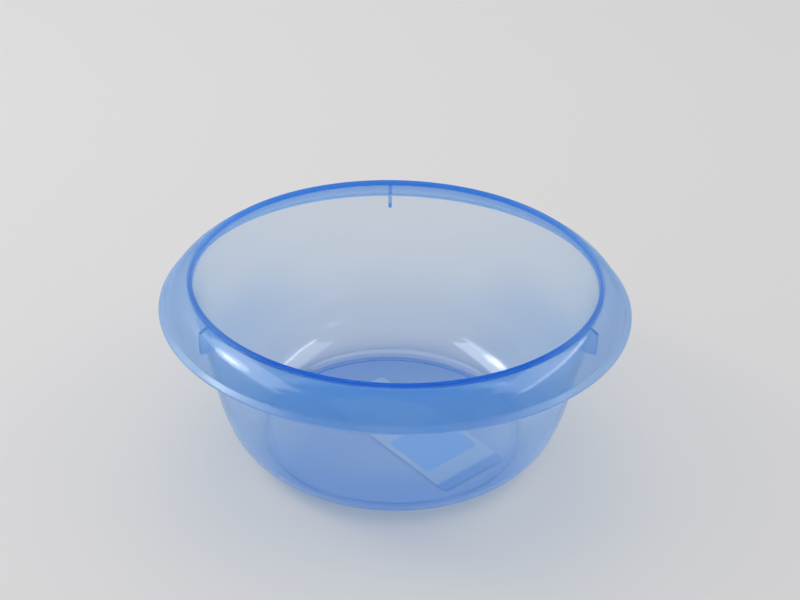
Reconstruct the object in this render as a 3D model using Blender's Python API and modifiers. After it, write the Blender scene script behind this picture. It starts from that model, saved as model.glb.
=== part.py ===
# Kitchen bowl moulded in clear blue polypropylene, with a bare label under its floor.
# Metres, +Z up. The origin is on the standing plane, at the centre of the foot.

import math

import bpy

# Driving dimensions of the bowl
BOWL_HEIGHT = 0.1063
LIP_OUTER_RADIUS = 0.1137
WALL_THICKNESS = 0.0019
WALL_TOP_THICKNESS = 0.00095
WALL_LEAN = math.radians(10.9)
BODY_RADIUS = 0.11244
BODY_END = math.radians(21.7)
HEEL_RADIUS = 0.0318
HEEL_END = math.radians(72.5)
LIP_THICKNESS = 0.00236
LIP_DRAFT = math.radians(1.5)
LIP_BLEND = 0.006
LIP_EDGE_RADIUS = 0.0005

# Foot ring and raised floor
FOOT_CHAMFER = 0.0004
FOOT_LAND = 0.0037
RECESS_DEPTH = 0.0009
FLOOR_THICKNESS = 0.0015
FLOOR_STEP_RUN = 0.0037
FLOOR_EDGE_RADIUS = 0.0004

# Domed collar that hangs out from under the lip, and the flange that flares from its lower end
RIM_THICKNESS = 0.0020
LIP_FREE_HEIGHT = 0.0011
COLLAR_RADIUS = 0.023625
COLLAR_START = math.radians(20.0)
COLLAR_END = math.radians(64.76)
FLANGE_NECK = 0.0010
FLANGE_LENGTH = 0.0038
FLANGE_SLOPE = math.radians(37.0)
FLANGE_EDGE_RADIUS = 0.0009
FLANGE_NECK_RADIUS = 0.0012

# Stacking ribs between the wall and the collar
RIB_COUNT = 3
RIB_THICKNESS = 0.0020
RIB_REACH = 0.0043
RIB_DEPTH = 0.0174
RIB_NAMES = ("stacking_rib_back", "stacking_rib_left", "stacking_rib_right")
FIRST_RIB_AZIMUTH = math.radians(90.4)

# Bare label, whose outline and place follow the recess that it is stuck in
LABEL_THICKNESS = 0.00025
LABEL_CORNER_SHARE = 0.042
LABEL_LENGTH_SHARE = 1.5216
LABEL_WIDTH_SHARE = 0.6481
LABEL_CENTRE_SHARES = (0.1577, -0.0651)
LABEL_AZIMUTH = math.radians(129.2)

# Gap that neighbouring pieces keep, and the fineness of the curves
SEAT_GAP = 0.0003
TURN_STEPS = 72
ARC_STEPS = 7
COLLAR_STEPS = 10
BLEND_STEPS = 5
EDGE_STEPS = 3
CORNER_STEPS = 5
MERGE_DISTANCE = 0.00005


# Curve helpers: a profile is a list of (radius, height) pairs

def arc(centre, half_width, half_height, start, end, steps):
    # The angle is 0 at the outermost point and a quarter turn at the lowest one.
    points = []
    for index in range(steps + 1):
        angle = start + (end - start) * index / steps
        points.append((
            centre[0] + half_width * math.cos(angle),
            centre[1] - half_height * math.sin(angle),
        ))
    return points


def unit(start, end):
    run, rise = end[0] - start[0], end[1] - start[1]
    length = math.hypot(run, rise)
    return run / length, rise / length


def fillet(before, corner, after, radius, steps):
    # Rounds one corner of a profile with an arc that touches both its sides.
    back, forth = unit(corner, before), unit(corner, after)
    half = math.acos(back[0] * forth[0] + back[1] * forth[1]) / 2
    reach, depth = radius / math.tan(half), radius / math.sin(half)
    middle = unit((0, 0), (back[0] + forth[0], back[1] + forth[1]))
    centre = (corner[0] + middle[0] * depth, corner[1] + middle[1] * depth)
    first = (corner[0] + back[0] * reach, corner[1] + back[1] * reach)
    last = (corner[0] + forth[0] * reach, corner[1] + forth[1] * reach)
    start = math.atan2(first[1] - centre[1], first[0] - centre[0])
    sweep = math.atan2(last[1] - centre[1], last[0] - centre[0]) - start
    if sweep > math.pi:
        sweep -= math.tau
    if sweep < -math.pi:
        sweep += math.tau
    return [
        (
            centre[0] + radius * math.cos(start + sweep * index / steps),
            centre[1] + radius * math.sin(start + sweep * index / steps),
        )
        for index in range(steps + 1)
    ]


# Places that several pieces share, worked out from the driving dimensions

def wall_section():
    # Straight leaning wall, a wide arc, then the heel arc that touches the standing plane.
    heel_top = HEEL_RADIUS * (1 - math.sin(BODY_END))
    body_top = heel_top + BODY_RADIUS * (math.sin(BODY_END) - math.sin(WALL_LEAN))
    body_edge = LIP_OUTER_RADIUS - (BOWL_HEIGHT - body_top) * math.tan(WALL_LEAN)
    body_centre = (
        body_edge - BODY_RADIUS * math.cos(WALL_LEAN),
        body_top + BODY_RADIUS * math.sin(WALL_LEAN),
    )
    heel_centre = (
        body_centre[0] + (BODY_RADIUS - HEEL_RADIUS) * math.cos(BODY_END),
        HEEL_RADIUS,
    )
    return body_centre, heel_centre


def wall_outer_radius(height):
    # Radius of the straight part of the wall's outer face at this height.
    return LIP_OUTER_RADIUS - (BOWL_HEIGHT - height) * math.tan(WALL_LEAN)


def foot_outer_radius():
    heel_centre = wall_section()[1]
    return heel_centre[0] + HEEL_RADIUS * math.cos(HEEL_END) - FOOT_CHAMFER


def recess_radius():
    return foot_outer_radius() - FOOT_LAND


def stepped(point, slope, length):
    # Moves a profile point in the direction that falls outwards at this slope.
    return point[0] + length * math.cos(slope), point[1] - length * math.sin(slope)


def collar_centre():
    # The collar's section is an arc about this point that leaves the wall just below the lip.
    root_height = BOWL_HEIGHT - LIP_FREE_HEIGHT
    return (
        wall_outer_radius(root_height) - COLLAR_RADIUS * math.sin(COLLAR_START),
        root_height - COLLAR_RADIUS * math.cos(COLLAR_START),
    )


def collar_arc(radius, steps, last_slope=COLLAR_END):
    # Starts one gap outside the wall and ends where the arc falls at the last slope.
    centre = collar_centre()
    across = (wall_outer_radius(centre[1]) - centre[0]) * math.cos(WALL_LEAN) + SEAT_GAP
    first_slope = WALL_LEAN + math.asin(across / radius)
    quarter = math.pi / 2
    return arc(centre, radius, radius, first_slope - quarter, last_slope - quarter, steps)


# Profiles of the turned pieces, each run down its outer side and back up its inner side

def lip_band():
    # Where the tapering wall's inner face meets the steeper inner face of the thickened lip,
    # and the radius that blends the two.
    body_centre = wall_section()[0]
    body_inner = BODY_RADIUS - WALL_THICKNESS
    foot_radius = body_centre[0] + body_inner * math.cos(WALL_LEAN)
    foot_height = body_centre[1] - body_inner * math.sin(WALL_LEAN)
    top_across = WALL_TOP_THICKNESS / math.cos(WALL_LEAN)
    inner_lean = math.atan2(LIP_OUTER_RADIUS - top_across - foot_radius, BOWL_HEIGHT - foot_height)
    depth = (LIP_THICKNESS - top_across) / (math.tan(inner_lean) - math.tan(LIP_DRAFT))
    band_foot = (
        LIP_OUTER_RADIUS - LIP_THICKNESS - depth * math.tan(LIP_DRAFT),
        BOWL_HEIGHT - depth,
    )
    return band_foot, LIP_BLEND / math.tan((inner_lean - LIP_DRAFT) / 2)


def shell_profile():
    body_centre, heel_centre = wall_section()
    lip_outer = (LIP_OUTER_RADIUS, BOWL_HEIGHT)
    lip_inner = (LIP_OUTER_RADIUS - LIP_THICKNESS, BOWL_HEIGHT)
    band_foot, blend_radius = lip_band()
    body_inner = BODY_RADIUS - WALL_THICKNESS
    heel_inner = HEEL_RADIUS - WALL_THICKNESS
    floor_top = RECESS_DEPTH + FLOOR_THICKNESS
    floor_edge = (recess_radius() + FLOOR_THICKNESS, floor_top)
    step_foot_radius = floor_edge[0] + FLOOR_STEP_RUN
    inner_end = math.acos((step_foot_radius - heel_centre[0]) / heel_inner)

    inner_wall = arc(heel_centre, heel_inner, heel_inner, inner_end, BODY_END, ARC_STEPS)
    inner_wall += arc(body_centre, body_inner, body_inner, BODY_END, WALL_LEAN, ARC_STEPS)[1:]
    outer_wall = arc(body_centre, BODY_RADIUS, BODY_RADIUS, WALL_LEAN, BODY_END, ARC_STEPS)
    outer_wall += arc(heel_centre, HEEL_RADIUS, HEEL_RADIUS, BODY_END, HEEL_END, ARC_STEPS)[1:]

    points = [(0, floor_top)]
    points += fillet(points[0], floor_edge, inner_wall[0], FLOOR_EDGE_RADIUS, EDGE_STEPS)
    points += inner_wall
    points += fillet(inner_wall[-1], band_foot, lip_inner, blend_radius, BLEND_STEPS)
    points += fillet(band_foot, lip_inner, lip_outer, LIP_EDGE_RADIUS, EDGE_STEPS)
    points += fillet(lip_inner, lip_outer, outer_wall[0], LIP_EDGE_RADIUS, EDGE_STEPS)
    points += outer_wall
    points += [(foot_outer_radius(), 0), (recess_radius(), 0)]
    points += [(recess_radius(), RECESS_DEPTH), (0, RECESS_DEPTH)]
    return points


def collar_profile():
    outer = collar_arc(COLLAR_RADIUS, COLLAR_STEPS)
    inner = collar_arc(COLLAR_RADIUS - RIM_THICKNESS, COLLAR_STEPS)
    return outer + inner[::-1]


def flange_profile():
    quarter = math.pi / 2
    half_bend = (COLLAR_END - FLANGE_SLOPE) / 2
    seat_outer = stepped(collar_arc(COLLAR_RADIUS, COLLAR_STEPS)[-1], COLLAR_END, SEAT_GAP)
    seat_inner = stepped(seat_outer, COLLAR_END + quarter, RIM_THICKNESS)
    neck_outer = stepped(seat_outer, COLLAR_END, FLANGE_NECK)
    neck_across = RIM_THICKNESS / math.cos(half_bend)
    neck_inner = stepped(neck_outer, FLANGE_SLOPE + half_bend + quarter, neck_across)
    tip_outer = stepped(neck_outer, FLANGE_SLOPE, FLANGE_LENGTH)
    tip_inner = stepped(tip_outer, FLANGE_SLOPE + quarter, RIM_THICKNESS)
    points = [seat_outer]
    points += fillet(seat_outer, neck_outer, tip_outer, FLANGE_NECK_RADIUS, EDGE_STEPS)
    points += fillet(neck_outer, tip_outer, tip_inner, FLANGE_EDGE_RADIUS, EDGE_STEPS)
    points += fillet(tip_outer, tip_inner, neck_inner, FLANGE_EDGE_RADIUS, EDGE_STEPS)
    return points + [neck_inner, seat_inner]


# Flat outlines

def rib_outline():
    # Runs down the rib's free outer edge, in along its foot, up the wall and out under the collar.
    top_radius = COLLAR_RADIUS - RIM_THICKNESS - SEAT_GAP
    last_slope = math.asin((LIP_OUTER_RADIUS + RIB_REACH - collar_centre()[0]) / top_radius)
    under_collar = collar_arc(top_radius, ARC_STEPS, last_slope)
    foot_height = BOWL_HEIGHT - RIB_DEPTH
    foot_outer = (LIP_OUTER_RADIUS + RIB_REACH, foot_height)
    foot_inner = (wall_outer_radius(foot_height) + SEAT_GAP / math.cos(WALL_LEAN), foot_height)
    return [foot_outer, foot_inner] + under_collar


def label_outline():
    half_length = recess_radius() * LABEL_LENGTH_SHARE / 2
    half_width = recess_radius() * LABEL_WIDTH_SHARE / 2
    corner = recess_radius() * LABEL_CORNER_SHARE
    points = []
    for across, along, start in ((1, 1, 0.0), (-1, 1, 0.5), (-1, -1, 1.0), (1, -1, 1.5)):
        centre = (across * (half_length - corner), along * (half_width - corner))
        first = -start * math.pi
        points += arc(centre, corner, corner, first, first - math.pi / 2, CORNER_STEPS)
    return points


# Object makers

def plastic(name, colour, roughness, clear):
    material = bpy.data.materials.new(name)
    material.use_nodes = True
    shader = material.node_tree.nodes["Principled BSDF"]
    shader.inputs["Base Color"].default_value = (*colour, 1)
    shader.inputs["Roughness"].default_value = roughness
    shader.inputs["Metallic"].default_value = 0
    shader.inputs["Transmission Weight"].default_value = clear
    shader.inputs["IOR"].default_value = 1.49
    material.diffuse_color = (*colour, 1)
    return material


def clear_blue(name):
    return plastic(name, (0.09, 0.30, 0.85), 0.12, 0.8)


def turned(name, profile, is_ring):
    edges = [(index, index + 1) for index in range(len(profile) - 1)]
    if is_ring:
        edges.append((len(profile) - 1, 0))
    mesh = bpy.data.meshes.new(name)
    mesh.from_pydata([(radius, 0, height) for radius, height in profile], edges, [])
    piece = bpy.data.objects.new(name, mesh)
    screw = piece.modifiers.new("Turn", "SCREW")
    screw.axis = "Z"
    screw.angle = math.tau
    screw.steps = TURN_STEPS
    screw.render_steps = TURN_STEPS
    screw.use_merge_vertices = True
    screw.merge_threshold = MERGE_DISTANCE
    screw.use_smooth_shade = True
    mesh.materials.append(clear_blue(name + "_plastic"))
    return piece


def cut_from_sheet(name, outline, thickness, material):
    curve = bpy.data.curves.new(name, "CURVE")
    curve.dimensions = "2D"
    curve.fill_mode = "BOTH"
    curve.extrude = thickness / 2
    spline = curve.splines.new("POLY")
    spline.points.add(len(outline) - 1)
    for point, (across, along) in zip(spline.points, outline):
        point.co = (across, along, 0, 1)
    spline.use_cyclic_u = True
    curve.materials.append(material)
    return bpy.data.objects.new(name, curve)


# Pieces

def bowl_shell():
    return turned("bowl_shell", shell_profile(), False)


def rim_collar():
    return turned("rim_collar", collar_profile(), True)


def rim_flange():
    return turned("rim_flange", flange_profile(), True)


def stacking_rib(index):
    name = RIB_NAMES[index]
    rib = cut_from_sheet(name, rib_outline(), RIB_THICKNESS, clear_blue(name + "_plastic"))
    azimuth = FIRST_RIB_AZIMUTH + index * math.tau / RIB_COUNT
    rib.rotation_euler = (math.pi / 2, 0, azimuth)
    return rib


def base_label():
    film = plastic("label_film", (0.80, 0.86, 0.92), 0.45, 0.0)
    label = cut_from_sheet("base_label", label_outline(), LABEL_THICKNESS, film)
    across, along = LABEL_CENTRE_SHARES
    label.location = (
        recess_radius() * across,
        recess_radius() * along,
        RECESS_DEPTH - SEAT_GAP - LABEL_THICKNESS / 2,
    )
    label.rotation_euler = (0, 0, LABEL_AZIMUTH)
    return label


def main():
    for old in list(bpy.data.objects):
        bpy.data.objects.remove(old)
    collection = bpy.data.collections.new("plastic_bowl")
    bpy.context.scene.collection.children.link(collection)
    pieces = [bowl_shell(), rim_collar(), rim_flange()]
    pieces += [stacking_rib(index) for index in range(RIB_COUNT)]
    pieces.append(base_label())
    for piece in pieces:
        collection.objects.link(piece)


main()
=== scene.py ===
# Studio shot of an open kitchen bowl, injection moulded in clear blue plastic.
# The moulding is one closed solid here, because the CAD's gaps between its members would show
# inside clear plastic.
import math

import bmesh
import bpy
from mathutils import Matrix


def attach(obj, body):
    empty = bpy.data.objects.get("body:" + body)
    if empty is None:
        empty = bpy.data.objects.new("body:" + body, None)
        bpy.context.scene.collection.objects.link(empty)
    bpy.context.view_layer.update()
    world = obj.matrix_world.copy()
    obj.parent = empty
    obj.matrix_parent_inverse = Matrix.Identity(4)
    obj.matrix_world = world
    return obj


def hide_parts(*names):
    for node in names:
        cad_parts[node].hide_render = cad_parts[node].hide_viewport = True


mm = 0.001  # every size below is in millimetres
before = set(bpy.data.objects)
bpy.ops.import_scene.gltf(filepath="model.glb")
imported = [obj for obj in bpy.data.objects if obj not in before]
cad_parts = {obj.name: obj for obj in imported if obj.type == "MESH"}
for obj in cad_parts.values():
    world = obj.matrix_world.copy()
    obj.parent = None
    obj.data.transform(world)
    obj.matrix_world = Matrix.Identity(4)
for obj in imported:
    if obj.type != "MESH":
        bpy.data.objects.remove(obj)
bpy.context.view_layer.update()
scene = bpy.context.scene
scene.view_settings.view_transform = "Standard"


# small helpers

def linearColour(code):  # sRGB hex in, linear colour out
    channels = [int(code[place:place + 2], 16) / 255 for place in (0, 2, 4)]
    return [*(v / 12.92 if v <= 0.04045 else ((v + 0.055) / 1.055) ** 2.4 for v in channels), 1.0]


def addNode(tree, kind, settings=None, links=None):  # settings name an attribute or a socket
    node = tree.nodes.new(kind)
    for key, value in (settings or {}).items():
        if isinstance(key, str) and hasattr(node, key):
            setattr(node, key, value)
        else:
            node.inputs[key].default_value = value
    for key, source in (links or {}).items():
        tree.links.new(source, node.inputs[key])
    return node


def newMaterial(name):
    made = bpy.data.materials.new(name)
    made.use_nodes = True
    made.node_tree.nodes.clear()
    return made, made.node_tree


def newPiece(name, bm, material):
    mesh = bpy.data.meshes.new(name)
    bm.to_mesh(mesh)
    bm.free()
    mesh.materials.append(material)
    piece = bpy.data.objects.new(name, mesh)
    scene.collection.objects.link(piece)
    return piece


# camera, at the photograph's place

cameraSetup = {
    "place": (-25.65, -678.18, 486.08),
    "pitch": 30.45,  # below the horizon
    "turn": -2.373,
    "roll": 1.601,
    "lens": 63.758,
    "sensor": 36,
    "farthest": 20000.0,
}


def makeCamera():
    lens = bpy.data.cameras.new("studioCamera")
    lens.lens = cameraSetup["lens"]
    lens.sensor_width = cameraSetup["sensor"]
    lens.clip_end = cameraSetup["farthest"] * mm
    camera = bpy.data.objects.new("studioCamera", lens)
    scene.collection.objects.link(camera)
    turn = Matrix.Rotation(math.radians(cameraSetup["turn"]), 4, "Z")
    tilt = Matrix.Rotation(math.radians(90 - cameraSetup["pitch"]), 4, "X")
    roll = Matrix.Rotation(math.radians(cameraSetup["roll"]), 4, "Z")
    place = Matrix.Translation([v * mm for v in cameraSetup["place"]])
    camera.matrix_world = place @ turn @ tilt @ roll
    scene.camera = camera


makeCamera()
print("camera placed")


# the bowl: wall, floor, lip, collar, flange and ribs in one

bowl = {
    "height": 106.3,
    "lipRadius": 113.7,
    "wall": 1.9,
    "wallTop": 0.95,  # the wall tapers towards the lip
    "lip": 2.36,
    "lipDraft": 1.5,
    "lipBlend": 6.0,  # how far the thickened lip fades into the wall, each way
    "lean": 10.9,  # of the straight upper wall, from upright
    "bodyRadius": 112.44,  # the belly's curve, down to bodyEnd degrees from upright
    "bodyEnd": 21.7,
    "heelRadius": 31.8,  # the heel's curve, down to heelEnd degrees from upright
    "heelEnd": 72.5,
    "chamfer": 0.4,
    "land": 3.7,  # width of the ring that the bowl stands on
    "recess": 0.9,  # height of the floor's underside
    "floor": 1.5,
    "floorStep": 3.7,
    "rim": 2.0,  # thickness of collar and flange
    "lipFree": 1.1,  # how far the lip stands above the collar
    "collarRadius": 23.625,  # the dome, from collarStart to collarEnd degrees off the top
    "collarStart": 20.0,
    "collarEnd": 64.76,
    "neck": 1.3,
    "flange": 3.8,
    "flangeSlope": 37.0,
    "turnSteps": 240,
    "heelSteps": 22,
    "bodySteps": 14,
    "lipSteps": 8,
    "collarSteps": 26,
    "weld": 0.001,  # points closer than this become one
    "sharpAngle": 14.0,  # rings that turn by more than this are rounded
    "shadeAngle": 38.0,  # edges that turn by more than this stay crisp
    "roundings": {  # each for the sharp rings within its radii and heights
        "foot": {"radii": (60.0, 80.0), "heights": (-0.1, 1.2), "offset": 0.18, "segments": 3},
        "floorStep": {"radii": (60.0, 80.0), "heights": (2.0, 4.5), "offset": 0.8, "segments": 5},
        "lipAndCollar": {"radii": (80.0, 128.0), "heights": (60.0, 106.4), "offset": 0.42, "segments": 4},
        "flange": {"radii": (128.2, 132.0), "heights": (60.0, 95.0), "offset": 0.88, "segments": 6},
    },
}
rib = {
    "azimuths": (90.4, 210.4, 330.4),
    "thickness": 2.0,
    "outerRadius": 118.0,
    "foot": 88.9,
    "rooted": 1.0,  # how far it runs into the wall and the collar
    "rise": 2.4,  # how far its top climbs from the outer edge to the wall
}


def wallFace(height):  # radius of the straight outer face
    return bowl["lipRadius"] - (bowl["height"] - height) * math.tan(math.radians(bowl["lean"]))


def straightTo(bm, pen, radius, height):
    drawn = bmesh.ops.extrude_vert_indiv(bm, verts=[pen])["verts"][0]
    drawn.co = (radius, 0, height)
    return drawn


def swingRound(bm, pen, centre, degrees, steps):
    swung = bmesh.ops.spin(
        bm, geom=[pen], cent=(centre[0], 0, centre[1]), axis=(0, 1, 0), dvec=(0, 0, 0),
        angle=math.radians(degrees), steps=steps, use_merge=False, use_duplicate=False,
    )
    return [one for one in swung["geom_last"] if isinstance(one, bmesh.types.BMVert)][0]


def drawSection(bm):
    b = bowl
    lean, bodyEnd, heelEnd = (math.radians(b[key]) for key in ("lean", "bodyEnd", "heelEnd"))
    heelTop = b["heelRadius"] * (1 - math.sin(bodyEnd))
    bodyTop = heelTop + b["bodyRadius"] * (math.sin(bodyEnd) - math.sin(lean))
    bodyAt = (
        wallFace(bodyTop) - b["bodyRadius"] * math.cos(lean),
        bodyTop + b["bodyRadius"] * math.sin(lean),
    )
    heelAt = (bodyAt[0] + (b["bodyRadius"] - b["heelRadius"]) * math.cos(bodyEnd), b["heelRadius"])
    footOuter = heelAt[0] + b["heelRadius"] * math.cos(heelEnd) - b["chamfer"]
    recessRadius = footOuter - b["land"]
    floorTop = b["recess"] + b["floor"]

    # inner side, from the middle of the floor up to the lip
    innerHeel = b["heelRadius"] - b["wall"]
    stepFoot = recessRadius + b["floor"] + b["floorStep"]
    innerEnd = math.acos((stepFoot - heelAt[0]) / innerHeel)
    pen = bm.verts.new((0, 0, floorTop))
    pen = straightTo(bm, pen, recessRadius + b["floor"], floorTop)
    pen = straightTo(bm, pen, stepFoot, heelAt[1] - innerHeel * math.sin(innerEnd))
    pen = swingRound(bm, pen, heelAt, -(math.degrees(innerEnd) - b["bodyEnd"]), b["heelSteps"])
    pen = swingRound(bm, pen, bodyAt, -(b["bodyEnd"] - b["lean"]), b["bodySteps"])
    draft = math.radians(b["lipDraft"])
    topAcross = b["wallTop"] / math.cos(lean)
    innerLean = math.atan2(b["lipRadius"] - topAcross - pen.co.x, b["height"] - pen.co.z)
    bandFoot = b["height"] - (b["lip"] - topAcross) / (math.tan(innerLean) - math.tan(draft))
    bandFootRadius = b["lipRadius"] - b["lip"] - (b["height"] - bandFoot) * math.tan(draft)
    blendRadius = b["lipBlend"] / math.tan((innerLean - draft) / 2)
    blendStart = (
        bandFootRadius - b["lipBlend"] * math.sin(innerLean),
        bandFoot - b["lipBlend"] * math.cos(innerLean),
    )
    blendAt = (
        blendStart[0] - blendRadius * math.cos(innerLean),
        blendStart[1] + blendRadius * math.sin(innerLean),
    )
    pen = straightTo(bm, pen, *blendStart)
    pen = swingRound(bm, pen, blendAt, -math.degrees(innerLean - draft), b["lipSteps"])
    pen = straightTo(bm, pen, b["lipRadius"] - b["lip"], b["height"])
    pen = straightTo(bm, pen, b["lipRadius"], b["height"])

    # collar and flange
    start, end, slope = (math.radians(b[key]) for key in ("collarStart", "collarEnd", "flangeSlope"))
    rootHeight = b["height"] - b["lipFree"]
    collarAt = (
        wallFace(rootHeight) - b["collarRadius"] * math.sin(start),
        rootHeight - b["collarRadius"] * math.cos(start),
    )
    pen = straightTo(bm, pen, wallFace(rootHeight), rootHeight)
    pen = swingRound(bm, pen, collarAt, b["collarEnd"] - b["collarStart"], b["collarSteps"])
    neckOuter = (
        pen.co.x + b["neck"] * math.cos(end),
        pen.co.z - b["neck"] * math.sin(end),
    )
    pen = straightTo(bm, pen, *neckOuter)
    tip = (pen.co.x + b["flange"] * math.cos(slope), pen.co.z - b["flange"] * math.sin(slope))
    pen = straightTo(bm, pen, *tip)
    pen = straightTo(bm, pen, tip[0] - b["rim"] * math.sin(slope), tip[1] - b["rim"] * math.cos(slope))
    halfBend = (end - slope) / 2
    across = b["rim"] / math.cos(halfBend)
    pen = straightTo(
        bm, pen,
        neckOuter[0] - across * math.sin(slope + halfBend),
        neckOuter[1] - across * math.cos(slope + halfBend),
    )
    underside = b["collarRadius"] - b["rim"]
    domeFoot = (collarAt[0] + underside * math.sin(end), collarAt[1] + underside * math.cos(end))
    pen = straightTo(bm, pen, *domeFoot)
    toWall = (wallFace(collarAt[1]) - collarAt[0]) * math.cos(lean)
    first = lean + math.asin(toWall / underside)
    pen = swingRound(bm, pen, collarAt, -(b["collarEnd"] - math.degrees(first)), b["collarSteps"])

    # outer side, down the wall to the foot and in under the floor
    pen = straightTo(bm, pen, wallFace(bodyTop), bodyTop)
    pen = swingRound(bm, pen, bodyAt, b["bodyEnd"] - b["lean"], b["bodySteps"])
    pen = swingRound(bm, pen, heelAt, b["heelEnd"] - b["bodyEnd"], b["heelSteps"])
    pen = straightTo(bm, pen, footOuter, 0)
    pen = straightTo(bm, pen, recessRadius, 0)
    pen = straightTo(bm, pen, recessRadius, b["recess"])
    straightTo(bm, pen, 0, b["recess"])
    return collarAt, underside


def softenRings(bm, radii, heights, offset, segments):
    sharp = [
        edge for edge in bm.edges
        if edge.is_manifold and edge.calc_face_angle(0) > math.radians(bowl["sharpAngle"])
        and all(heights[0] <= vert.co.z <= heights[1] for vert in edge.verts)
        and all(radii[0] <= math.hypot(vert.co.x, vert.co.y) <= radii[1] for vert in edge.verts)
    ]
    bmesh.ops.bevel(
        bm, geom=sharp, offset=offset, offset_type="OFFSET", segments=segments, profile=0.5,
        affect="EDGES", material=-1, clamp_overlap=True,
    )


def makeMoulding(material):
    bm = bmesh.new()
    collarAt, underside = drawSection(bm)
    bmesh.ops.spin(
        bm, geom=bm.verts[:] + bm.edges[:], cent=(0, 0, 0), axis=(0, 0, 1), dvec=(0, 0, 0),
        angle=math.tau, steps=bowl["turnSteps"], use_merge=True, use_duplicate=False,
    )
    bmesh.ops.remove_doubles(bm, verts=bm.verts, dist=bowl["weld"])
    bmesh.ops.recalc_face_normals(bm, faces=bm.faces)
    for rounding in bowl["roundings"].values():
        softenRings(bm, **rounding)
    bmesh.ops.scale(bm, verts=bm.verts, vec=(mm, mm, mm))
    moulding = newPiece("bowlMoulding", bm, material)

    # the ribs are drawn rooted in wall and collar, then joined to them
    topHeight = collarAt[1] + math.sqrt(underside ** 2 - (rib["outerRadius"] - collarAt[0]) ** 2)
    wallTop = topHeight + rib["rise"]
    corners = [
        (wallFace(rib["foot"]) - rib["rooted"], rib["foot"]),
        (rib["outerRadius"], rib["foot"]),
        (rib["outerRadius"], topHeight + rib["rooted"]),
        (wallFace(wallTop) - rib["rooted"], wallTop + rib["rooted"]),
    ]
    bm = bmesh.new()
    for azimuth in rib["azimuths"]:
        outline = [bm.verts.new((radius, -rib["thickness"] / 2, height)) for radius, height in corners]
        plate = bm.faces.new(outline)
        grown = bmesh.ops.extrude_face_region(bm, geom=[plate])["geom"]
        grownVerts = [one for one in grown if isinstance(one, bmesh.types.BMVert)]
        bmesh.ops.translate(bm, verts=grownVerts, vec=(0, rib["thickness"], 0))
        bmesh.ops.rotate(
            bm, verts=outline + grownVerts, cent=(0, 0, 0),
            matrix=Matrix.Rotation(math.radians(azimuth), 3, "Z"),
        )
    bmesh.ops.recalc_face_normals(bm, faces=bm.faces)
    bmesh.ops.scale(bm, verts=bm.verts, vec=(mm, mm, mm))
    ribs = newPiece("ribsToJoin", bm, material)
    union = moulding.modifiers.new("ribs", "BOOLEAN")
    union.operation = "UNION"
    union.solver = "EXACT"
    union.object = ribs
    evaluated = moulding.evaluated_get(bpy.context.evaluated_depsgraph_get())
    joined = bpy.data.meshes.new_from_object(evaluated)
    moulding.modifiers.clear()
    moulding.data = joined
    bpy.data.objects.remove(ribs)
    joined.shade_smooth()
    joined.set_sharp_from_angle(angle=math.radians(bowl["shadeAngle"]))
    even = moulding.modifiers.new("evenShading", "WEIGHTED_NORMAL")
    even.keep_sharp = True
    print("moulding", len(joined.polygons), "faces")
    return moulding


# clarified polypropylene, injection moulded against a polished tool: tinted in the mass, glossy,
# with the slight milk of its crystals, which lets the blue of the dye glow
bluePlastic = {
    "surface": "fbfdff",
    "tint": "3fbdfb",
    "density": 94.0,
    "ior": 1.49,
    "milkForward": 0.6,  # share of the milk's light that goes on through
    "edgeMilk": 0.3,  # added where the plastic is seen edge on
    "edgeBlend": 0.25,
    "coat": 0.4,
    "coatRough": 0.15,
    "flangeCoat": 0.0,
    "flangeStart": (15.0, 16.4),  # outside the wall, where the coat fades out
    "rippleScale": 55.0,  # waves to a metre, so each is about 18 mm wide
    "rippleDetail": 1.0,
    "rippleDepth": 0.12,
    "rippleShare": 0.25,
    "throughShadow": "f4f6f8",  # lamp light that comes through the plastic
    "throughHeel": "e6eaee",  # less of it through the heel, below heelLow and beyond heelOut
    "heelLow": (10.0, 3.0),
    "heelOut": (72.0, 78.0),
    "heelCentre": 65.51,  # radius of the middle of the heel's curve
}
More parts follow.
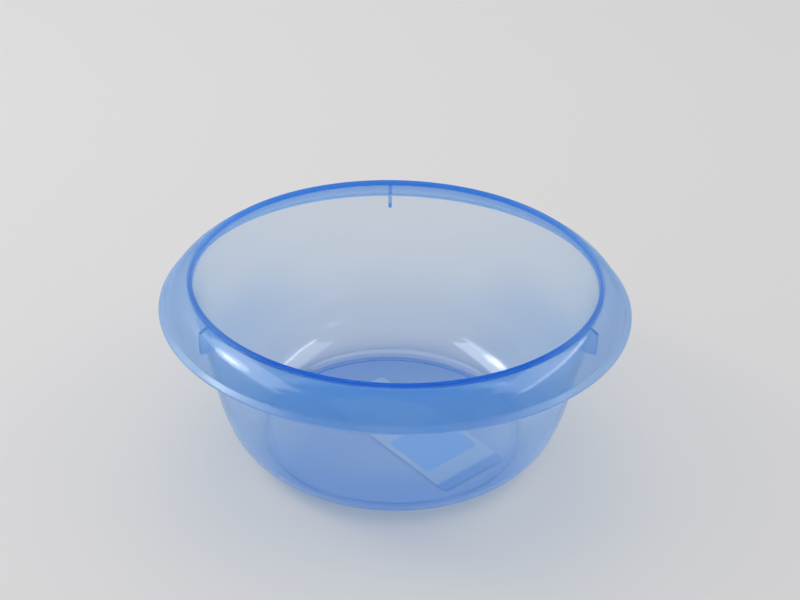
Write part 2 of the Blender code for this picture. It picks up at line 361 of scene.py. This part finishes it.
# the thicker the plastic, the more milk shows, and glow is the milk's colour; the finishes at the foot,
# along the floor's step, at the front and at the sides also hold painted light and shade
# each finish covers those before it, from none to full over each range, in these measures:
# height above the table, radius from the bowl's axis, heelReach from the middle of the heel's curve,
# outside the wall's outer face, sideways either way, and frontward
finishes = {
    "heel": {"rough": 0.06, "milk": 0.08, "glow": "38a8ff", "where": ()},
    "floor": {"rough": 0.04, "milk": 0.2, "glow": "3e9af8", "where": (("radius", 76.3, 75.8),)},
    # painted shade: the foot's rings, where the bowl meets the table, are a deeper and darker blue,
    # darkest at the front
    "foot": {
        "rough": 0.05, "milk": 0.35, "glow": "2e8cf4",
        "where": (("radius", 74.0, 74.4), ("height", 1.9, 1.3)),
    },
    "footBandShade": {
        "rough": 0.05, "milk": 0.16, "glow": "2a78cc",
        "where": (("radius", 73.0, 73.6), ("heelReach", 31.0, 31.4), ("height", 4.0, 3.5)),
    },
    "footFrontShade": {
        "rough": 0.05, "milk": 0.34, "glow": "2470c4",
        "where": (
            ("radius", 73.0, 73.6), ("heelReach", 31.0, 31.4),
            ("height", 7.0, 5.0), ("frontward", -10.0, 40.0),
        ),
    },
    # painted shade: a dark line along the floor's step, on the front only
    "stepShadeLine": {
        "rough": 0.05, "milk": 0.75, "glow": "1650a8",
        "where": (
            ("radius", 75.4, 75.7), ("radius", 77.0, 76.7),
            ("heelReach", 30.8, 30.5), ("frontward", -30.0, 30.0),
        ),
    },
    "wall": {"rough": 0.04, "milk": 0.04, "glow": "b8dcff", "where": (("height", 25.0, 65.0),)},
    # painted light: the body is lighter towards its left and right sides, below the upper wall
    "heelSidesLight": {
        "rough": 0.06, "milk": 0.16, "glow": "a8d2ff",
        "where": (("height", 80.0, 45.0), ("sideways", 48.0, 86.0)),
    },
    "collar": {"rough": 0.08, "milk": 0.28, "glow": "78c0ff", "where": (("outside", 0.05, 0.6),)},
    # painted shade: the collar is a deeper blue towards the front
    "collarFrontShade": {
        "rough": 0.1, "milk": 0.36, "glow": "3aaaff",
        "where": (("outside", 0.05, 0.6), ("frontward", 88.0, 115.0)),
    },
    "flange": {"rough": 0.16, "milk": 0.4, "glow": "a8d4ff", "where": (("outside", 15.6, 16.7),)},
    # painted shade: the flange is a deeper blue towards the front
    "flangeFrontShade": {
        "rough": 0.16, "milk": 0.3, "glow": "62aef8",
        "where": (("outside", 15.6, 16.7), ("frontward", 96.0, 120.0)),
    },
    "skirt": {
        "rough": 0.08, "milk": 0.14, "glow": "4a98f4",
        "where": (("height", 99.0, 103.0), ("outside", 0.6, 0.15)),
    },
    "lip": {
        "rough": 0.05, "milk": 0.6, "glow": "4698f8",
        "where": (("height", 103.2, 104.5), ("outside", 1.5, 0.7)),
    },
    # painted shade: the lip is a deeper blue towards the front
    "lipFrontShade": {
        "rough": 0.05, "milk": 0.74, "glow": "1878f0",
        "where": (("height", 103.2, 104.5), ("outside", 1.5, 0.7), ("frontward", -20.0, 80.0)),
    },
    # painted highlight: the lip is paler at the left and right sides, where it catches the side lamps
    "lipSidesHighlight": {
        "rough": 0.06, "milk": 0.4, "glow": "70b4ff",
        "where": (("height", 103.2, 104.5), ("outside", 1.5, 0.7), ("sideways", 60.0, 112.0)),
    },
}


def makeBluePlastic():
    blue = bluePlastic
    material, tree = newMaterial("clarifiedPolypropyleneBlue")
    place = addNode(tree, "ShaderNodeTexCoord")
    ripple = addNode(
        tree, "ShaderNodeTexNoise", {"Scale": blue["rippleScale"], "Detail": blue["rippleDetail"]},
        {"Vector": place.outputs["Object"]},
    )
    bump = addNode(
        tree, "ShaderNodeBump", {"Strength": blue["rippleShare"], "Distance": blue["rippleDepth"] * mm},
        {"Height": ripple.outputs["Fac"]},
    )

    # the measures that the finishes name
    apart = addNode(tree, "ShaderNodeSeparateXYZ", None, {"Vector": place.outputs["Object"]})
    flat = addNode(tree, "ShaderNodeCombineXYZ", None, {"X": apart.outputs["X"], "Y": apart.outputs["Y"]})
    radius = addNode(tree, "ShaderNodeVectorMath", {"operation": "LENGTH"}, {0: flat.outputs[0]})
    slope = math.tan(math.radians(bowl["lean"]))
    faceRadius = addNode(
        tree, "ShaderNodeMath",
        {"operation": "MULTIPLY_ADD", 1: slope, 2: (bowl["lipRadius"] - bowl["height"] * slope) * mm},
        {0: apart.outputs["Z"]},
    )
    outside = addNode(
        tree, "ShaderNodeMath", {"operation": "SUBTRACT"},
        {0: radius.outputs["Value"], 1: faceRadius.outputs[0]},
    )
    sideways = addNode(tree, "ShaderNodeMath", {"operation": "ABSOLUTE"}, {0: apart.outputs["X"]})
    frontward = addNode(
        tree, "ShaderNodeMath", {"operation": "MULTIPLY", 1: -1.0}, {0: apart.outputs["Y"]},
    )
    profile = addNode(
        tree, "ShaderNodeCombineXYZ", None, {"X": radius.outputs["Value"], "Y": apart.outputs["Z"]},
    )
    heelReach = addNode(
        tree, "ShaderNodeVectorMath",
        {"operation": "DISTANCE", 1: (blue["heelCentre"] * mm, bowl["heelRadius"] * mm, 0)},
        {0: profile.outputs[0]},
    )
    measures = {
        "height": apart.outputs["Z"],
        "radius": radius.outputs["Value"],
        "heelReach": heelReach.outputs["Value"],
        "outside": outside.outputs[0],
        "sideways": sideways.outputs[0],
        "frontward": frontward.outputs[0],
    }

    # lay the finishes over one another: (kind of mix, socket below, socket above, result)
    layers = {"rough": ("FLOAT", 2, 3, 0), "milk": ("FLOAT", 2, 3, 0), "glow": ("RGBA", 6, 7, 2)}
    laid = {}
    for finish in finishes.values():
        values = {"rough": finish["rough"], "milk": finish["milk"], "glow": linearColour(finish["glow"])}
        if not finish["where"]:
            lowest = values
            continue
        share = None
        for measure, nought, full in finish["where"]:
            reach = addNode(
                tree, "ShaderNodeMapRange",
                {"interpolation_type": "SMOOTHSTEP", "From Min": nought * mm, "From Max": full * mm},
                {"Value": measures[measure]},
            ).outputs[0]
            if share:
                reach = addNode(
                    tree, "ShaderNodeMath", {"operation": "MULTIPLY"}, {0: share, 1: reach},
                ).outputs[0]
            share = reach
        for key, (kind, below, above, result) in layers.items():
            settings, links = {"data_type": kind, above: values[key]}, {0: share}
            if key in laid:
                links[below] = laid[key]
            else:
                settings[below] = lowest[key]
            laid[key] = addNode(tree, "ShaderNodeMix", settings, links).outputs[result]

    coat = addNode(
        tree, "ShaderNodeMapRange",
        {
            "interpolation_type": "SMOOTHSTEP",
            "From Min": blue["flangeStart"][0] * mm, "From Max": blue["flangeStart"][1] * mm,
            "To Min": blue["coat"], "To Max": blue["flangeCoat"],
        },
        {"Value": outside.outputs[0]},
    )
    clear = addNode(
        tree, "ShaderNodeBsdfPrincipled",
        {
            "Base Color": linearColour(blue["surface"]), "IOR": blue["ior"],
            "Transmission Weight": 1.0, "Coat Roughness": blue["coatRough"], "Coat IOR": blue["ior"],
        },
        {"Normal": bump.outputs["Normal"], "Roughness": laid["rough"], "Coat Weight": coat.outputs[0]},
    )
    facing = addNode(tree, "ShaderNodeLayerWeight", {"Blend": blue["edgeBlend"]})
    milkShare = addNode(
        tree, "ShaderNodeMath", {"operation": "MULTIPLY_ADD", 1: blue["edgeMilk"], "use_clamp": True},
        {0: facing.outputs["Facing"], 2: laid["milk"]},
    )
    back = addNode(tree, "ShaderNodeBsdfDiffuse", None, {"Color": laid["glow"]})
    forward = addNode(tree, "ShaderNodeBsdfTranslucent", None, {"Color": laid["glow"]})
    milk = addNode(
        tree, "ShaderNodeMixShader", {0: blue["milkForward"]},
        {1: back.outputs[0], 2: forward.outputs[0]},
    )
    body = addNode(
        tree, "ShaderNodeMixShader", None,
        {0: milkShare.outputs[0], 1: clear.outputs[0], 2: milk.outputs[0]},
    )

    # lamp light has a longer way through the plastic of the heel
    low, outer = (
        addNode(
            tree, "ShaderNodeMapRange",
            {"interpolation_type": "SMOOTHSTEP", "From Min": nought * mm, "From Max": full * mm},
            {"Value": measures[measure]},
        )
        for measure, (nought, full) in (("height", blue["heelLow"]), ("radius", blue["heelOut"]))
    )
    heelShare = addNode(
        tree, "ShaderNodeMath", {"operation": "MULTIPLY"}, {0: low.outputs[0], 1: outer.outputs[0]},
    )
    shadow, heelShadow = (linearColour(blue[key]) for key in ("throughShadow", "throughHeel"))
    through = addNode(
        tree, "ShaderNodeMix", {"data_type": "RGBA", 6: shadow, 7: heelShadow}, {0: heelShare.outputs[0]},
    )
    lampsThrough = addNode(tree, "ShaderNodeBsdfTransparent", None, {"Color": through.outputs[2]})
    path = addNode(tree, "ShaderNodeLightPath")
    softly = addNode(
        tree, "ShaderNodeMixShader", None,
        {0: path.outputs["Is Diffuse Ray"], 1: body.outputs[0], 2: lampsThrough.outputs[0]},
    )
    surface = addNode(
        tree, "ShaderNodeMixShader", None,
        {0: path.outputs["Is Shadow Ray"], 1: softly.outputs[0], 2: lampsThrough.outputs[0]},
    )
    dye = addNode(
        tree, "ShaderNodeVolumeAbsorption",
        {"Color": linearColour(blue["tint"]), "Density": blue["density"]},
    )
    addNode(
        tree, "ShaderNodeOutputMaterial", None, {"Surface": surface.outputs[0], "Volume": dye.outputs[0]},
    )
    return material


moulding = makeMoulding(makeBluePlastic())
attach(moulding, "root")
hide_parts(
    "bowl_shell", "rim_collar", "rim_flange",
    "stacking_rib_back", "stacking_rib_left", "stacking_rib_right",
)
print("moulding dressed")


# label stuck under the floor, in plain blocks of colour

label = {
    "centre": (11.19, -4.62),
    "turn": 129.2,
    "length": 108.0,
    "width": 46.0,
    "corner": 3.0,
    "cornerSteps": 6,
    "top": 0.95,  # a hair into the floor, as glue leaves no air between them
    "film": 0.25,
    "rough": 0.5,
    "inkEdge": 0.1,
    "filmColour": "ccd4d6",
    "blocks": (
        {"low": (-53.9, -22.9), "high": (-47.5, 22.9), "corner": 1.0, "ink": "84a8d0"},
        {"low": (-36.0, -19.5), "high": (-2.0, 19.5), "corner": 4.0, "ink": "94c2e4"},
    ),
}


def makePrintedFilm():
    # pale polypropylene film, printed in plain blocks and matt: flat colour with no gloss
    material, tree = newMaterial("printedLabelFilm")
    place = addNode(tree, "ShaderNodeTexCoord")
    onLabel = addNode(
        tree, "ShaderNodeMapping",
        {
            "vector_type": "TEXTURE", "Location": [*(v * mm for v in label["centre"]), 0],
            "Rotation": (0, 0, math.radians(label["turn"])),
        },
        {"Vector": place.outputs["Object"]},
    ).outputs[0]
    colour = None
    for block in label["blocks"]:
        low, high, corner = block["low"], block["high"], block["corner"]
        middle = [(low[axis] + high[axis]) / 2 * mm for axis in (0, 1)]
        half = [((high[axis] - low[axis]) / 2 - corner) * mm for axis in (0, 1)]
        away = onLabel
        for step in (
            {"operation": "SUBTRACT", 1: (*middle, 0)}, {"operation": "ABSOLUTE"},
            {"operation": "SUBTRACT", 1: (*half, 1)}, {"operation": "MAXIMUM", 1: (0, 0, 0)},
        ):
            away = addNode(tree, "ShaderNodeVectorMath", step, {0: away}).outputs[0]
        away = addNode(tree, "ShaderNodeVectorMath", {"operation": "LENGTH"}, {0: away})
        within = addNode(
            tree, "ShaderNodeMapRange",
            {
                "From Min": (corner - label["inkEdge"]) * mm,
                "From Max": (corner + label["inkEdge"]) * mm,
                "To Min": 1.0, "To Max": 0.0,
            },
            {"Value": away.outputs["Value"]},
        )
        settings, links = {"data_type": "RGBA", 7: linearColour(block["ink"])}, {0: within.outputs[0]}
        if colour:
            links[6] = colour
        else:
            settings[6] = linearColour(label["filmColour"])
        colour = addNode(tree, "ShaderNodeMix", settings, links).outputs[2]
    surface = addNode(
        tree, "ShaderNodeBsdfPrincipled", {"Roughness": label["rough"]}, {"Base Color": colour},
    )
    addNode(tree, "ShaderNodeOutputMaterial", None, {"Surface": surface.outputs[0]})
    return material


def makeLabel(material):
    bm = bmesh.new()
    halfLength, halfWidth = label["length"] / 2, label["width"] / 2
    corners = [
        (-halfLength, -halfWidth), (halfLength, -halfWidth),
        (halfLength, halfWidth), (-halfLength, halfWidth),
    ]
    bm.faces.new([bm.verts.new((across, along, 0)) for across, along in corners])
    bmesh.ops.bevel(
        bm, geom=bm.verts[:], offset=label["corner"], offset_type="OFFSET",
        segments=label["cornerSteps"], profile=0.5, affect="VERTICES", material=-1,
    )
    grown = bmesh.ops.extrude_face_region(bm, geom=bm.faces[:])["geom"]
    grownVerts = [one for one in grown if isinstance(one, bmesh.types.BMVert)]
    bmesh.ops.translate(bm, verts=grownVerts, vec=(0, 0, -label["film"]))
    bmesh.ops.recalc_face_normals(bm, faces=bm.faces)
    bmesh.ops.rotate(
        bm, verts=bm.verts, cent=(0, 0, 0), matrix=Matrix.Rotation(math.radians(label["turn"]), 3, "Z"),
    )
    bmesh.ops.translate(bm, verts=bm.verts, vec=(*label["centre"], label["top"]))
    bmesh.ops.scale(bm, verts=bm.verts, vec=(mm, mm, mm))
    return newPiece("bareLabel", bm, material)


bareLabel = makeLabel(makePrintedFilm())
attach(bareLabel, "root")
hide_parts("base_label")
print("label stuck on")


# floor, lamps and world

studio = {
    "floorColour": "d7d6d7",
    "floorHalf": 4000.0,
    "floorDrop": 0.05,  # keeps the table just clear of the foot
    "worldColour": "ffffff",
    "worldStrength": 0.498,
    "aimHeight": 60.0,
    "bounces": 24,  # so that light gets through every layer of wall, collar and label
}
lamps = {
    "leftBox": {"place": (-1388, 130, 1715), "size": (1800, 620), "round": False, "watts": 8.6},
    "leftStrip": {"place": (-1620, 40, 1400), "size": (2100, 220), "round": False, "watts": 3.0},
    "leftHalo": {"place": (-1600, 300, 1480), "size": (760, 520), "round": True, "watts": 3.6},
    "leftGlow": {"place": (-1600, 330, 1470), "size": (360, 220), "round": True, "watts": 1.5},
    "rightBox": {"place": (1889, 165, 2428), "size": (2300, 900), "round": False, "watts": 8.5},
    "rightStrip": {"place": (2263, 260, 2081), "size": (2900, 190), "round": False, "watts": 7.4},
    "overhead": {"place": (0, 1100, 2300), "size": (1700, 1700), "round": True, "watts": 13.0},
}


def makeFloor():
    bm = bmesh.new()
    bmesh.ops.create_grid(bm, x_segments=1, y_segments=1, size=studio["floorHalf"] * mm)
    bmesh.ops.translate(bm, verts=bm.verts, vec=(0, 0, -studio["floorDrop"] * mm))
    material, tree = newMaterial("matteStudioBoard")
    board = addNode(tree, "ShaderNodeBsdfDiffuse", {"Color": linearColour(studio["floorColour"])})
    addNode(tree, "ShaderNodeOutputMaterial", None, {"Surface": board.outputs[0]})
    newPiece("studioFloor", bm, material)


def makeLamps():
    for name, setup in lamps.items():
        lamp = bpy.data.lights.new(name, "AREA")
        lamp.shape = "ELLIPSE" if setup["round"] else "RECTANGLE"
        lamp.size, lamp.size_y = (v * mm for v in setup["size"])
        lamp.energy = setup["watts"]
        holder = bpy.data.objects.new(name, lamp)
        holder.location = [v * mm for v in setup["place"]]
        aim = -holder.location
        aim.z += studio["aimHeight"] * mm
        holder.rotation_euler = aim.to_track_quat("-Z", "Y").to_euler()
        scene.collection.objects.link(holder)


def makeWorld():
    world = bpy.data.worlds.new("paleStudio")
    world.use_nodes = True
    world.node_tree.nodes.clear()
    tree = world.node_tree
    glow = addNode(
        tree, "ShaderNodeBackground",
        {"Color": linearColour(studio["worldColour"]), "Strength": studio["worldStrength"]},
    )
    addNode(tree, "ShaderNodeOutputWorld", None, {"Surface": glow.outputs[0]})
    scene.world = world


makeFloor()
makeLamps()
makeWorld()
for limit in ("max_bounces", "transmission_bounces", "transparent_max_bounces"):
    setattr(scene.cycles, limit, studio["bounces"])
print("studio lit")
